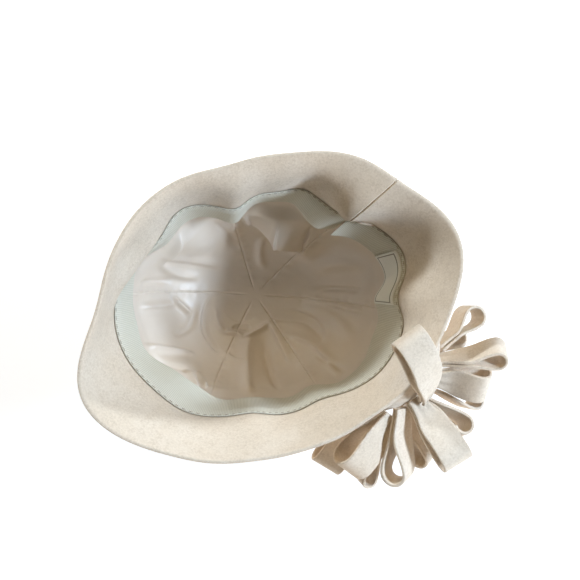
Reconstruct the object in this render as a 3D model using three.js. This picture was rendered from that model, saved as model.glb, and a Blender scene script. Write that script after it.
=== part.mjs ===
// A soft felt cloche hat lying on its crown with the mouth up: felt crown, flared felt brim with a
// seam at the back, grosgrain sweatband, satin lining, a plain woven tag and a cluster of felt loops.
// Millimetres and degrees, +Z up, origin at the middle of the flattened crown where it rests.
import * as THREE from "three";

// Walls and clearances
const FELT = 2.4;
const SATIN = 1;
const RIBBON = 1;
const TAG = 1;
const GAP = 0.4;

// Heights along the hat, from the surface that it rests on
const CROWN_DEPTH = 106;
const BRIM_DEPTH = 42;
const BRIM_LONGER = 3; // extra brim at the front and back, and as much less at the sides
const PRESSED = 5; // how far the crown's tip is pressed flat by resting on it
const ROUNDNESS = 0.8; // 1 makes the crown an ellipsoid, less makes it squarer
const BRIM_CURL = 1.25; // 1 makes the brim a straight cone, more turns its edge out
const BACK_CURL = { at: 66, more: 1.6, spread: 48 }; // the edge turns out further round the back seam

// Outer ovals: centre, half length, half width and turn. The hat leans a little to its trimmed side.
const HEADLINE = { x: 8, y: -7, length: 101.5, width: 77, turn: 8 };
const BRIM_EDGE = { x: 14, y: -8, length: 128, width: 93, turn: 22 };
const BACK_SEAM = 45; // angle round the hat where the brim's ends and the ribbon's ends meet

// Dents (minus) and swells (plus) of the two ovals: angle, distance moved and half spread of each
const HEADLINE_FOLDS = [
  { at: 150, out: -5, spread: 10 },
  { at: 130, out: 4, spread: 10 },
  { at: 106, out: -8, spread: 10 },
  { at: 71, out: 4, spread: 8 },
  { at: 50, out: -5, spread: 10 },
  { at: 22, out: 3, spread: 10 },
  { at: 3, out: -8, spread: 8 },
  { at: -30, out: 3, spread: 14 },
  { at: -58, out: -3, spread: 10 },
  { at: -95, out: -3, spread: 10 },
  { at: -125, out: 4, spread: 14 },
];
const EDGE_FOLDS = [
  { at: 130, out: 5.5, spread: 22 },
  { at: 180, out: -11.5, spread: 18 },
  { at: 207, out: 5, spread: 14 },
  { at: 357, out: -5.5, spread: 18 },
  { at: 42, out: -6, spread: 13 },
];
const FOLD_FADE = 0.45; // the headline's folds die out this share of the way to the crown's tip

// Bulges of the brim between its two ovals: angle, share of the brim's depth, distance and spreads
const BRIM_BULGES = [
  { at: 165, up: 0.2, out: -7, spread: 14, spreadUp: 0.25 },
  { at: 232, up: 0.45, out: -3, spread: 10, spreadUp: 0.3 },
  { at: 66, up: 0.4, out: 4, spread: 12, spreadUp: 0.35 },
  { at: 46, up: 0.45, out: -5, spread: 9, spreadUp: 0.33 },
  { at: 15, up: 0.5, out: 3, spread: 14, spreadUp: 0.35 },
];

// Puffs of the loose lining: angle, share of the way up from the tip, its rise for each degree, depth off
// the felt, and half spreads round the hat, above and below
const LINING_TOP = 3; // the lining's edge ends this far below the headline
const LINING_SLACK = 2.5; // the lining hangs this far off the felt where nothing draws it in or out
const LINING_PUFFS = [
  { at: 66, up: 0.48, rise: 0.004, in: 24, spread: 24, above: 0.26, below: 0.07 },
  { at: 140, up: 0.6, rise: 0, in: 13, spread: 20, above: 0.2, below: 0.2 },
  { at: 196, up: 0.56, rise: 0, in: 6, spread: 12, above: 0.15, below: 0.15 },
  { at: 222, up: 0.66, rise: 0, in: 5, spread: 9, above: 0.12, below: 0.12 },
  { at: 262, up: 0.5, rise: 0, in: 6, spread: 12, above: 0.18, below: 0.18 },
  { at: 318, up: 0.55, rise: 0, in: 5, spread: 14, above: 0.16, below: 0.16 },
  { at: 20, up: 0.5, rise: 0, in: 5, spread: 15, above: 0.16, below: 0.16 },
];
const GORE_SEAMS = [177, 107, 45, -4, -56, -117];
const GORE_PUCKER = 1.2; // how far each seam draws the lining off the felt
const GORE_PUCKER_SPREAD = 5;

// Sweatband: ribbon width, and how far its free edge leans in off the wall, pushed by the lining behind it
const BAND_WIDTH = 25;
const BAND_LEAN = 4;
const BAND_LEANS = [
  { at: 9, in: -4, spread: 6 },
  { at: 30, in: 9, spread: 22 },
  { at: 58, in: 8.5, spread: 12 },
  { at: 88, in: -1.5, spread: 10 },
  { at: 115, in: 4, spread: 13 },
  { at: 160, in: -4, spread: 12 },
  { at: 188, in: 6, spread: 12 },
  { at: 224, in: 11.5, spread: 18 },
  { at: 315, in: -3, spread: 9 },
  { at: 350, in: 7.5, spread: 16 },
];

// Woven tag sewn over the sweatband
const TAG_FROM = 4; // first and last of the ribbon's steps that it covers, counted from the seam
const TAG_TO = 8;
const TAG_WIDTH = 22;

// Felt loops, gathered on a small domed pad outside the brim
const STRIP_WIDTH = 21;
const STRIP_FELT = 2;
const GATHERED_SHARE = 0.5; // share of the loop that widens from the gathered root
const PAD_AT = -26; // angle round the hat
const PAD_UP = 0.52; // share of the brim's depth
const PAD = { along: 33, up: 16, out: 15 }; // half length, half height and thickness
// Each loop's root on the pad (along the brim, up it, its middle's height over the pad, and its gathered
// width), its heading in plan, its rise above level, the roll of the strip about its own way (0 is on edge,
// 90 is flat), its reach, its half belly, the share of it where its two sides begin to part, and how much
// it bends over its width, bends sideways and twists
const LOOP_COLUMNS = [
  "name", "along", "up", "seat", "root", "heading", "rise", "roll", "reach", "belly", "parts",
  "bend", "sideways", "twist",
];
const LOOPS = [
  ["loop_over_brim", -8, 10, 5.75, 8, 76, 58.5, 150, 55, 6.25, 0.02, -74, -10, -24],
  ["loop_front", -11, 6, 0.5, 12, -51, 12, 56, 49, 5.5, 0.25, -16, 0, 22],
  ["loop_front_low", -13, -11, 3.25, 8, -64, -12, 42, 50, 6, 0.25, 0, 0, 0],
  ["loop_corner", -8, -5, 2.25, 9, -36, -4, -24, 43, 6, 0.25, 0, 0, 0],
  ["loop_corner_low", -6, -14.5, 4.25, 5, -42, -31, -24, 53, 5, 0.25, 0, 0, 0],
  ["loop_right_thin", -1, -11, 3, 7, -20, -20, -6, 49, 5, 0.25, 0, 0, 0],
  ["loop_right_flat", 5, 1, 2.25, 12, -8, -3, -56, 36, 6.5, 0.25, 0, 0, 0],
  ["loop_right_upper", 15, 4, 1, 12, 7, 8, 26, 42, 5.5, 0.4, 0, 0, 0],
  ["loop_back_upper", 21, -2, 2.75, 9, 45, -11, 10, 36, 6.5, 0.35, 0, 0, 0],
  ["loop_back_low", 15, -11, 2.75, 5, 26, -38, 10, 33, 5, 0.25, 0, 0, 0],
  ["loop_left_long", -18.5, 7, 2, 13, 266, -7, 54, 48.5, 7.5, 0.3, 0, 0, -36],
  ["loop_left_narrow", -21.5, -11, 4, 7, 258, -18, -26, 60, 4.5, 0.25, 0, 0, 0],
  ["loop_left_wide", -26, 5.5, 5.5, 13, 229, -1, 60, 45, 9, 0, 0, 0, 0],
  ["loop_left_low", -29.5, -6, 4.25, 9, 232, -18, 76, 53, 5.5, 0.25, 0, 0, 0],
];

const STEPS_ROUND = 64;
const STEPS_CROWN = 10;
const STEPS_BRIM = 5;
const STEPS_LOOP = 30;

const FELT_CREAM = { color: 0xe3d6c6, roughness: 0.95, metalness: 0 };
const SATIN_IVORY = { color: 0xd9d2c8, roughness: 0.35, metalness: 0 };
const RIBBON_IVORY = { color: 0xd6d9cc, roughness: 0.7, metalness: 0 };
const TAG_WHITE = { color: 0xe8e6dc, roughness: 0.8, metalness: 0 };

const rad = THREE.MathUtils.degToRad;
const { lerp, smoothstep } = THREE.MathUtils;

// Degrees from one angle to another, the short way round
function degreesFrom(at, angle) {
  return THREE.MathUtils.euclideanModulo(angle - at + 180, 360) - 180;
}

// A smooth bump of height 1
function bump(value, at, spread) {
  return Math.exp(-(((value - at) / spread) ** 2));
}

function bumpRound(angle, at, spread) {
  return bump(degreesFrom(at, angle), 0, spread);
}

// Radius of a turned oval at an angle
function ovalRadius(angle, oval) {
  const a = rad(angle - oval.turn);
  return 1 / Math.hypot(Math.cos(a) / oval.length, Math.sin(a) / oval.width);
}

function foldSum(angle, folds) {
  return folds.reduce((sum, f) => sum + f.out * bumpRound(angle, f.at, f.spread), 0);
}

function polar(angle, radius, x, y, z) {
  return new THREE.Vector3(x + radius * Math.cos(rad(angle)), y + radius * Math.sin(rad(angle)), z);
}

// A point of the crown: share is 0 at the tip and 1 at the headline, depth is measured in from the outside
function crownPoint(angle, share, depth) {
  const fall = Math.cos((share * Math.PI) / 2) ** ROUNDNESS;
  const wide = Math.sin((share * Math.PI) / 2) ** ROUNDNESS;
  const z = Math.max(depth, (CROWN_DEPTH + PRESSED) * (1 - fall) - PRESSED + depth * fall);
  const folds = foldSum(angle, HEADLINE_FOLDS) * smoothstep(share, 1 - FOLD_FADE, 1);
  const radius = (ovalRadius(angle, HEADLINE) + folds - depth) * wide;
  const lean = z / CROWN_DEPTH;
  return polar(angle, radius, HEADLINE.x * lean, HEADLINE.y * lean, z);
}

// A point of the brim: share is 0 at the headline and 1 at the edge
function brimPoint(angle, share, depth) {
  const head = ovalRadius(angle, HEADLINE) + foldSum(angle, HEADLINE_FOLDS);
  const edge = ovalRadius(angle, BRIM_EDGE) + foldSum(angle, EDGE_FOLDS);
  const bulge = BRIM_BULGES.reduce(
    (sum, b) => sum + b.out * bumpRound(angle, b.at, b.spread) * bump(share, b.up, b.spreadUp),
    0,
  );
  const fade = Math.min(1, share / 0.15);
  const curl = BRIM_CURL + BACK_CURL.more * bumpRound(angle, BACK_CURL.at, BACK_CURL.spread);
  const radius = lerp(head, edge, share ** curl) + bulge * fade - depth;
  const tall = BRIM_DEPTH + BRIM_LONGER * Math.cos(2 * rad(angle - BRIM_EDGE.turn));
  const x = lerp(HEADLINE.x, BRIM_EDGE.x, share);
  const y = lerp(HEADLINE.y, BRIM_EDGE.y, share);
  return polar(angle, radius, x, y, CROWN_DEPTH + GAP + share * (tall - GAP));
}

// How far the ribbon's free edge leans in off the wall
function bandLean(angle) {
  return BAND_LEANS.reduce((sum, b) => sum + b.in * bumpRound(angle, b.at, b.spread), BAND_LEAN);
}

// How far the loose lining stands off the felt
function liningStandsOff(angle, share) {
  const puffs = LINING_PUFFS.reduce((sum, p) => {
    const middle = p.up + p.rise * degreesFrom(p.at, angle);
    const spreadUp = share > middle ? p.above : p.below;
    return sum + p.in * bumpRound(angle, p.at, p.spread) * bump(share, middle, spreadUp);
  }, 0);
  const pucker = GORE_SEAMS.reduce(
    (sum, seam) => sum + GORE_PUCKER * bumpRound(angle, seam, GORE_PUCKER_SPREAD),
    0,
  );
  const loose = 1 - smoothstep(share, 0.72, 0.84);
  const below = (CROWN_DEPTH + PRESSED) * Math.cos((share * Math.PI) / 2) ** ROUNDNESS;
  const behind = Math.min(1, below / BAND_WIDTH) * (1 - smoothstep(below, BAND_WIDTH, 2.4 * BAND_WIDTH));
  const slack = LINING_SLACK * smoothstep(share, 0.05, 0.3);
  const hanging = slack + puffs + pucker * smoothstep(share, 0.1, 0.4);
  return hanging * loose + 0.8 * bandLean(angle) * behind;
}

// A closed sheet with thickness: point(u, v, side) gives its two faces, u and v run from 0 to 1
function sheetGeometry(point, stepsU, stepsV) {
  const positions = [];
  const index = [];
  const at = (i, j, side) => (side * (stepsU + 1) + i) * (stepsV + 1) + j;
  for (const side of [0, 1])
    for (let i = 0; i <= stepsU; i += 1)
      for (let j = 0; j <= stepsV; j += 1) positions.push(...point(i / stepsU, j / stepsV, side));
  const quad = (a, b, c, d) => index.push(a, b, c, a, c, d);
  for (let i = 0; i < stepsU; i += 1)
    for (let j = 0; j < stepsV; j += 1) {
      quad(at(i, j, 0), at(i + 1, j, 0), at(i + 1, j + 1, 0), at(i, j + 1, 0));
      quad(at(i, j, 1), at(i, j + 1, 1), at(i + 1, j + 1, 1), at(i + 1, j, 1));
    }
  for (let i = 0; i < stepsU; i += 1) {
    quad(at(i, 0, 0), at(i, 0, 1), at(i + 1, 0, 1), at(i + 1, 0, 0));
    quad(at(i, stepsV, 0), at(i + 1, stepsV, 0), at(i + 1, stepsV, 1), at(i, stepsV, 1));
  }
  for (let j = 0; j < stepsV; j += 1) {
    quad(at(0, j, 0), at(0, j + 1, 0), at(0, j + 1, 1), at(0, j, 1));
    quad(at(stepsU, j, 0), at(stepsU, j, 1), at(stepsU, j + 1, 1), at(stepsU, j + 1, 0));
  }
  return geometryFrom(positions, index);
}

// A closed bowl with a wall: point(u, v, side), u goes round and v runs from the tip to the rim
function bowlGeometry(point, stepsRound, stepsUp) {
  const positions = [];
  const index = [];
  const at = (i, j, side) => {
    const ring = (j - 1) * stepsRound + (i % stepsRound) + 1;
    return side * (stepsRound * stepsUp + 1) + (j === 0 ? 0 : ring);
  };
  for (const side of [0, 1]) {
    positions.push(...point(0, 0, side));
    for (let j = 1; j <= stepsUp; j += 1)
      for (let i = 0; i < stepsRound; i += 1) positions.push(...point(i / stepsRound, j / stepsUp, side));
  }
  const quad = (a, b, c, d) => index.push(a, b, c, a, c, d);
  for (let i = 0; i < stepsRound; i += 1) {
    index.push(at(0, 0, 0), at(i + 1, 1, 0), at(i, 1, 0));
    index.push(at(0, 0, 1), at(i, 1, 1), at(i + 1, 1, 1));
    for (let j = 1; j < stepsUp; j += 1) {
      quad(at(i, j, 0), at(i + 1, j, 0), at(i + 1, j + 1, 0), at(i, j + 1, 0));
      quad(at(i, j, 1), at(i, j + 1, 1), at(i + 1, j + 1, 1), at(i + 1, j, 1));
    }
    quad(at(i, stepsUp, 0), at(i + 1, stepsUp, 0), at(i + 1, stepsUp, 1), at(i, stepsUp, 1));
  }
  return geometryFrom(positions, index);
}

function geometryFrom(positions, index) {
  const geometry = new THREE.BufferGeometry();
  geometry.setAttribute("position", new THREE.Float32BufferAttribute(positions, 3));
  geometry.setIndex(index);
  geometry.computeVertexNormals();
  return geometry;
}

// Rows of the crown: the first ring is the edge of the flat patch that it rests on
const FLAT_SHARE = (2 / Math.PI) * Math.acos((CROWN_DEPTH / (CROWN_DEPTH + PRESSED)) ** (1 / ROUNDNESS));

function crownShare(v, top) {
  const first = 1 / STEPS_CROWN;
  return v <= first ? (v / first) * FLAT_SHARE : lerp(FLAT_SHARE, top, (v - first) / (1 - first));
}

function crown() {
  return bowlGeometry(
    (u, v, side) => crownPoint(360 * u, crownShare(v, 1), side * FELT),
    STEPS_ROUND,
    STEPS_CROWN,
  );
}

function brim() {
  const halfSeam = 0.12; // degrees left open at the seam, about 0.2 mm each side
  return sheetGeometry(
    (u, v, side) => brimPoint(lerp(BACK_SEAM + halfSeam, BACK_SEAM + 360 - halfSeam, u), v, side * FELT),
    STEPS_ROUND,
    STEPS_BRIM,
  );
}

// Share of the crown at a height below the headline
function shareAt(below) {
  const fall = below / (CROWN_DEPTH + PRESSED);
  return (2 / Math.PI) * Math.acos(fall ** (1 / ROUNDNESS));
}

function lining() {
  const top = shareAt(LINING_TOP);
  return bowlGeometry(
    (u, v, side) => {
      const share = crownShare(v, top);
      return crownPoint(360 * u, share, FELT + GAP + side * SATIN + liningStandsOff(360 * u, share));
    },
    STEPS_ROUND,
    STEPS_CROWN,
  );
}

// A point of the sweatband: share runs from its sewn edge at the headline to its free edge
function bandPoint(angle, share, depth) {
  const under = FELT + 2 * GAP + SATIN;
  return crownPoint(angle, shareAt(0.5 + share * BAND_WIDTH), under + bandLean(angle) * share + depth);
}

function bandAngle(u) {
  const halfSeam = 0.2; // degrees left open where the ribbon's ends meet
  return lerp(BACK_SEAM + 360 - halfSeam, BACK_SEAM + halfSeam, u);
}

function sweatband() {
  return sheetGeometry((u, v, side) => bandPoint(bandAngle(u), v, side * RIBBON), STEPS_ROUND, 2);
}

function tag() {
  const from = 0.06; // share of the ribbon's width left bare at its sewn edge
  return sheetGeometry(
    (u, v, side) => {
      const angle = bandAngle(lerp(TAG_FROM, TAG_TO, u) / STEPS_ROUND);
      return bandPoint(angle, lerp(from, from + TAG_WIDTH / BAND_WIDTH, v), RIBBON + GAP + side * TAG);
    },
    TAG_TO - TAG_FROM,
    2,
  );
}

// A point over the outside of the brim, by its distances from the pad's middle
function overBrim(along, up, height) {
  const hub = new THREE.Vector3(BRIM_EDGE.x, BRIM_EDGE.y, CROWN_DEPTH);
  const middle = brimPoint(PAD_AT, PAD_UP, 0).distanceTo(hub);
  const angle = PAD_AT + THREE.MathUtils.radToDeg(along / middle);
  return brimPoint(angle, PAD_UP + up / BRIM_DEPTH, -GAP - height);
}

function padHeight(along, up) {
  return PAD.out * Math.sqrt(Math.max(0, 1 - (along / PAD.along) ** 2 - (up / PAD.up) ** 2));
}

function pad() {
  return bowlGeometry(
    (u, v, side) => {
      const reach = Math.sin((v * Math.PI) / 2);
      const along = PAD.along * reach * Math.cos(2 * Math.PI * u);
      const up = PAD.up * reach * Math.sin(2 * Math.PI * u);
      const rim = v === 1 ? 0.3 : 0;
      return overBrim(along, up, side === 0 ? 0 : padHeight(along, up) + rim);
    },
    20,
    4,
  );
}

// A strip of felt bent into a teardrop: out along a bent spine, round a full end and back to its root
function loop(row) {
  const level = Math.cos(rad(row.rise));
  const forward = new THREE.Vector3(
    level * Math.cos(rad(row.heading)),
    level * Math.sin(rad(row.heading)),
    Math.sin(rad(row.rise)),
  );
  const onEdge = new THREE.Vector3(0, 0, 1).addScaledVector(forward, -forward.z).normalize();
  const across = onEdge.applyAxisAngle(forward, rad(row.roll));
  const open = across.clone().cross(forward);
  const halfPair = STRIP_FELT + GAP / 2;
  const root = overBrim(row.along, row.up, padHeight(row.along, row.up) + row.seat);

  const turn = rad(Math.hypot(row.bend, row.sideways));
  const axis = across.clone().multiplyScalar(row.bend).addScaledVector(open, row.sideways).normalize();
  const inside = axis.clone().cross(forward);
  const end = 1 - row.belly / row.reach; // where the round end begins
  const neck = 0.6; // share of the steps on the two sides

  // Middle of the strip, and the way that its width lies there, at a step from 0 to 1
  const along = (step) => {
    const half = 1 - Math.abs(2 * step - 1);
    const round = ((Math.max(half, neck) - neck) / (1 - neck)) * (Math.PI / 2);
    const share = half < neck ? (end * half) / neck : end + (1 - end) * Math.sin(round);
    const parting = smoothstep(share, row.parts, end);
    const apart = lerp(halfPair - STRIP_FELT / 2, row.belly, parting) * Math.cos(round);
    const ahead = turn ? Math.sin(turn * share) / turn : share;
    const aside = turn ? (1 - Math.cos(turn * share)) / turn : 0;
    const way = forward.clone().applyAxisAngle(axis, turn * share);
    const width = across.clone().applyAxisAngle(axis, turn * share);
    width.applyAxisAngle(way, rad(row.twist) * share);
    const middle = root
      .clone()
      .addScaledVector(forward, row.reach * ahead)
      .addScaledVector(inside, row.reach * aside)
      .addScaledVector(width.clone().cross(way), step < 0.5 ? apart : -apart);
    return { share, width, middle };
  };

  return sheetGeometry(
    (u, v, side) => {
      const { share, width, middle } = along(u);
      const tangent = along(Math.min(1, u + 0.004)).middle.sub(along(Math.max(0, u - 0.004)).middle);
      const normal = width.clone().cross(tangent).normalize();
      const wide = lerp(row.root, STRIP_WIDTH, smoothstep(share, 0, GATHERED_SHARE));
      return middle
        .addScaledVector(width, (0.5 - v) * wide)
        .addScaledVector(normal, (0.5 - side) * STRIP_FELT);
    },
    STEPS_LOOP,
    1,
  );
}

function add(group, name, geometry, look) {
  const mesh = new THREE.Mesh(geometry, new THREE.MeshStandardMaterial(look));
  mesh.name = name;
  group.add(mesh);
}

const hat = new THREE.Group();
add(hat, "crown", crown(), FELT_CREAM);
add(hat, "brim", brim(), FELT_CREAM);
add(hat, "lining", lining(), SATIN_IVORY);
add(hat, "sweatband", sweatband(), RIBBON_IVORY);
add(hat, "tag", tag(), TAG_WHITE);
add(hat, "loop_pad", pad(), FELT_CREAM);
for (const values of LOOPS) {
  const row = Object.fromEntries(LOOP_COLUMNS.map((column, i) => [column, values[i]]));
  add(hat, row.name, loop(row), FELT_CREAM);
}

export default hat;
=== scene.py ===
"""A soft cream felt cloche hat lying mouth up on its crown.

Felt crown and flared felt brim with a seam at the back, grosgrain sweatband with a plain woven tag,
gored satin lining, and a cluster of felt loops on one side. The shape functions work in millimetres and
degrees with +Z up and the origin at the middle of the flattened crown; meshes are stored in metres.
"""
import math

import bmesh
import bpy
import numpy as np
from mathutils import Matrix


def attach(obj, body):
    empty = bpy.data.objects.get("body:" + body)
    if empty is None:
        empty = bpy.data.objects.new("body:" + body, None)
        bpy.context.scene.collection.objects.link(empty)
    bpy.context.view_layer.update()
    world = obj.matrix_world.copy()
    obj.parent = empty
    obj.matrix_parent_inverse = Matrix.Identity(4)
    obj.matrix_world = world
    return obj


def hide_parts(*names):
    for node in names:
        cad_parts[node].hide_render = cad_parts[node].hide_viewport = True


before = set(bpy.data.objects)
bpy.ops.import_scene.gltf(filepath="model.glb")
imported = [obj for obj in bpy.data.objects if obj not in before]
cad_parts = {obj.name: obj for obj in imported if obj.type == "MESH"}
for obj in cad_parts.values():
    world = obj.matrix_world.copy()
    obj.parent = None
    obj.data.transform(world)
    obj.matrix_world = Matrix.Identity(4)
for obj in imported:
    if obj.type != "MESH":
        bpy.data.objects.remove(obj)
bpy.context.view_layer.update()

# Walls and clearances
FELT = 2.4
SATIN = 1.0
RIBBON = 1.0
TAG = 1.0
GAP = 0.4

# Heights along the hat, from the surface that it rests on
CROWN_DEPTH = 106.0
BRIM_DEPTH = 42.0
BRIM_LONGER = 3.0  # extra brim at the front and back, and as much less at the sides
PRESSED = 5.0  # how far the crown's tip is pressed flat by resting on it
ROUNDNESS = 0.8  # 1 makes the crown an ellipsoid, less makes it squarer
BRIM_CURL = 1.25  # 1 makes the brim a straight cone, more turns its edge out
BACK_CURL = (66.0, 1.6, 48.0)  # more of that round the back seam: angle, how much, half spread
BRIM_ROUND = (0.8, 0.35)  # radius of the corners at the brim's edge and at its foot

# Outer ovals: centre x and y, half length, half width and turn
HEADLINE = (8.0, -7.0, 101.5, 77.0, 8.0)
BRIM_EDGE = (14.0, -8.0, 128.0, 93.0, 22.0)

# The back seam, where the brim's ends and the ribbon's ends meet
BACK_SEAM = 45.0  # angle round the hat
SEAM_RIDGE = (3.5, 6.5)  # how far it stands in half way up the brim, and half spread in degrees
SEAM_GROOVE = (0.5, 2.2, 0.9)  # half width, depth on the inside and depth on the outside
SEAM_WELT = (2.6, 0.6)  # half width and height on each side of the groove
SEAM_CIRCLE = (90.0, 118.0)  # radius of the hat there at the headline and at the edge

# Dents (minus) and swells (plus) of the two ovals: angle, distance moved, half spread
HEADLINE_FOLDS = [
    (150, -5, 10), (130, 4, 10), (106, -8, 10), (71, 4, 8), (50, -5, 10), (22, 3, 10),
    (3, -8, 8), (-30, 3, 14), (-58, -3, 10), (-95, -3, 10), (-125, 4, 14),
]
EDGE_FOLDS = [(130, 5.5, 22), (180, -11.5, 18), (207, 5, 14), (357, -5.5, 18), (42, -6, 13)]
FOLD_FADE = 0.45  # the headline's folds die out this share of the way to the crown's tip

# Bulges of the brim between its two ovals: angle, share of the brim's depth, distance, two half spreads
BRIM_BULGES = [
    (165, 0.2, -7, 14, 0.25), (232, 0.45, -3, 10, 0.3), (66, 0.4, 4, 12, 0.35), (46, 0.45, -5, 9, 0.33),
    (15, 0.5, 3, 14, 0.35),
]

# Slow unevenness of hand-blocked felt: height, waves round the hat, waves up it, phase
FELT_WAVES = [(0.35, 5, 4, 0.7), (0.3, 9, -6, 2.1), (0.2, 14, 9, 4.0)]

# Sliver of felt beside the back seam
FLAP_ANGLES = (43.6, 35.4)
FLAP_UP = (0.06, 0.035)  # share of the brim's depth at its ends, and how much more in its middle
FLAP_OFF = (0.4, 1.6)  # how far it stands off the felt at its ends, and how much more in its middle
FLAP_HALF_WIDTH = 1.1
FLAP_FELT = 1.2
FLAP_ROUND = 0.5

# Lining, with its puffs: angle, share of the way up from the tip, its rise for each degree, depth off the
# felt, and half spreads round the hat, above and below
LINING_TOP = 4.4  # the lining's edge ends this far below the headline
LINING_SLACK = 2.5  # the lining hangs this far off the felt where nothing draws it in or out
LINING_PUFFS = [
    (66, 0.48, 0.004, 24, 24, 0.26, 0.07), (140, 0.6, 0, 13, 20, 0.2, 0.2),
    (196, 0.56, 0, 6, 12, 0.15, 0.15), (222, 0.66, 0, 5, 9, 0.12, 0.12),
    (262, 0.5, 0, 6, 12, 0.18, 0.18), (318, 0.55, 0, 5, 14, 0.16, 0.16),
    (20, 0.5, 0, 5, 15, 0.16, 0.16),
]
GORE_SEAMS = [177, 107, 45, -4, -56, -117]
GORE_DRAW = (1.2, 7.0)  # how far a gore's seam is drawn off the felt, and half width
GORE_PUCKER = (0.2, 4.0, 110.0)  # height and half width of the puckers beside it, and how close they follow
GORE_GROOVE = (0.7, 0.7)  # depth and half width
TIP_EASE = 6.0  # rounds the lining's corner at the flat tip

# Creases of the lining on its flat cut, where a point lies at its angle and at its share of the way from
# the tip: angle and share of the two ends, sideways bow, height off the felt (minus for a groove) and half
# widths on the right and on the left of the way from the first end to the second
CUT_REACH = 150.0
CREASE_RISE = 1.5  # all the heights below are raised by this
CREASE_WIDTH = 0.75  # and all the half widths are drawn in by this
LINING_CREASES = [
    (138, 0.80, 160, 0.66, 2, 2.4, 6, 2.5), (161, 0.67, 164, 0.30, 4, 2.2, 3, 5),
    (156, 0.71, 143, 0.24, 0, 1.6, 3, 8), (172, 0.72, 170, 0.46, 0, -2.2, 4, 4),
    (184, 0.70, 186, 0.42, 0, 3.2, 4, 4), (181, 0.42, 197, 0.31, 0, 2.8, 3, 3),
    (194, 0.26, 205, 0.50, -5, -2.4, 5, 3), (184, 0.17, 236, 0.39, 7, -3.0, 3, 2.5),
    (197, 0.17, 229, 0.25, 2, 2.4, 2, 4), (202, 0.77, 220, 0.50, 0, 3.4, 6, 2.5),
    (205, 0.80, 226, 0.70, 0, -2.6, 3, 5), (225, 0.69, 236, 0.79, 0, 3.2, 3, 2.5),
    (231, 0.64, 239, 0.75, 0, 2.6, 2, 3), (240, 0.40, 258, 0.52, 0, 2.2, 2.5, 4),
    (230, 0.24, 253, 0.26, -2, 2.4, 2.5, 4), (252, 0.26, 298, 0.15, 2, 2.2, 4, 2.5),
    (236, 0.19, 260, 0.19, -2, -2.2, 3, 3), (263, 0.20, 264, 0.78, 4, 3.4, 9, 7),
    (283, 0.74, 280, 0.28, -3, -2.2, 6, 6), (298, 0.15, 296, 0.50, 0, 2.2, 2.5, 7),
    (300, 0.10, 325, 0.50, -11, -3.2, 7, 4), (309, 0.28, 316, 0.81, -8, 2.8, 4, 8),
    (316, 0.60, 321, 0.90, 0, -2.4, 3, 6), (338, 0.62, 346, 0.22, 5, 1.8, 6, 8),
    (6, 0.27, 4, 0.56, 0, -1.4, 3, 2), (352, 0.62, 357, 0.22, 0, 1.6, 4, 3),
    (18, 0.62, 22, 0.30, 3, 1.6, 9, 6), (54, 0.66, 42, 0.34, 0, -2.4, 3, 2.5),
    (76, 0.70, 68, 0.42, 2, 2.0, 5, 4), (100, 0.74, 96, 0.52, 0, 1.8, 4, 4),
    (120, 0.70, 112, 0.30, -2, -1.6, 6, 5), (84, 0.36, 70, 0.12, 2, 1.6, 5, 4),
    (206, 0.12, 262, 0.12, 3, -1.6, 3, 3),
]

# Sweatband, with how far its free edge leans in off the wall, and where it leans more or less: angle,
# distance, half spread
BAND_WIDTH = 25.0
BAND_LENGTH = 560.0
BAND_BELOW = 0.5  # the sewn edge lies this far below the headline
BAND_END_GAP = 0.35  # each end stops this many degrees before the back seam
BAND_LEAN = 4.0
BAND_LEANS = [
    (9, -4, 6), (30, 9, 22), (58, 8.5, 12), (88, -1.5, 10), (115, 4, 13), (160, -3.1, 12), (188, 6, 12),
    (224, 11.5, 18), (315, -3, 9), (350, 7.5, 16),
]
SEWN_GAP = 0.15  # the sewn edge lies this close to the felt
BAND_WAVES = [(0.5, 11, 0), (0.4, 17, 40)]  # of the free edge: height, waves round the hat, phase
RIBBON_ROUND = 0.3  # radius of the corners of ribbon and tag

# The ribbon's ends at the back seam, each value with its half spread in degrees
BAND_END_LIFT = (2.5, 9.0)  # how far the free edge of the end over the seam stands off further
BAND_END_DROP = (3.5, 5.0)  # how far that of the end under it lies back
BAND_END_RISE = (0.28, 16.0)  # share of the ribbon's height by which that of the end over the seam comes up

# Tag
TAG_FROM = 4 / 64  # share of the ribbon from its end where the tag begins, and where it ends
TAG_TO = 8 / 64
TAG_WIDTH = 22.0
TAG_LENGTH = 35.0
TAG_UP = 0.06  # share of the ribbon's width that shows above the tag
TAG_BELLY = 0.35  # how far its middle stands off the ribbon
TAG_BORDER = 0.0018  # metres from its edges to the border line

# Stitches: half length in degrees and thread radius
HEM_STITCH = (0.95, 0.17)
HEM_COUNT = 112
HEM_UP = 0.015  # share of the ribbon's width from its sewn edge
TACK_STITCH = (0.6, 0.16)
TACK_COUNT = 9
TACK_DEPTH = 2.0
TACK_ENDS = (("upper", 22.6, -0.5), ("lower", 0.1, 0.5))  # end of the tag, angle, slope over its edge

# Felt loops, gathered on a small domed pad outside the brim
STRIP_WIDTH = 21.0
STRIP_FELT = 2.0
STRIP_ROUND = 0.65  # radius of the strip's corners
LOOP_NECK = 0.6  # share of each side's length before the round end
PLEAT_DEPTH = 0.35
PLEAT_COUNT = 5
STRIP_SLACK = 0.3  # how far the strip's edges wave
GATHERED_SHARE = 0.5  # share of the loop that widens from the gathered root
PAD_AT = -26.0  # angle round the hat
PAD_UP = 0.52  # share of the brim's depth
PAD = (33.0, 16.0, 15.0)  # half length, half height and thickness
PAD_PLEATS = (0.4, 16)  # depth and count

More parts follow.
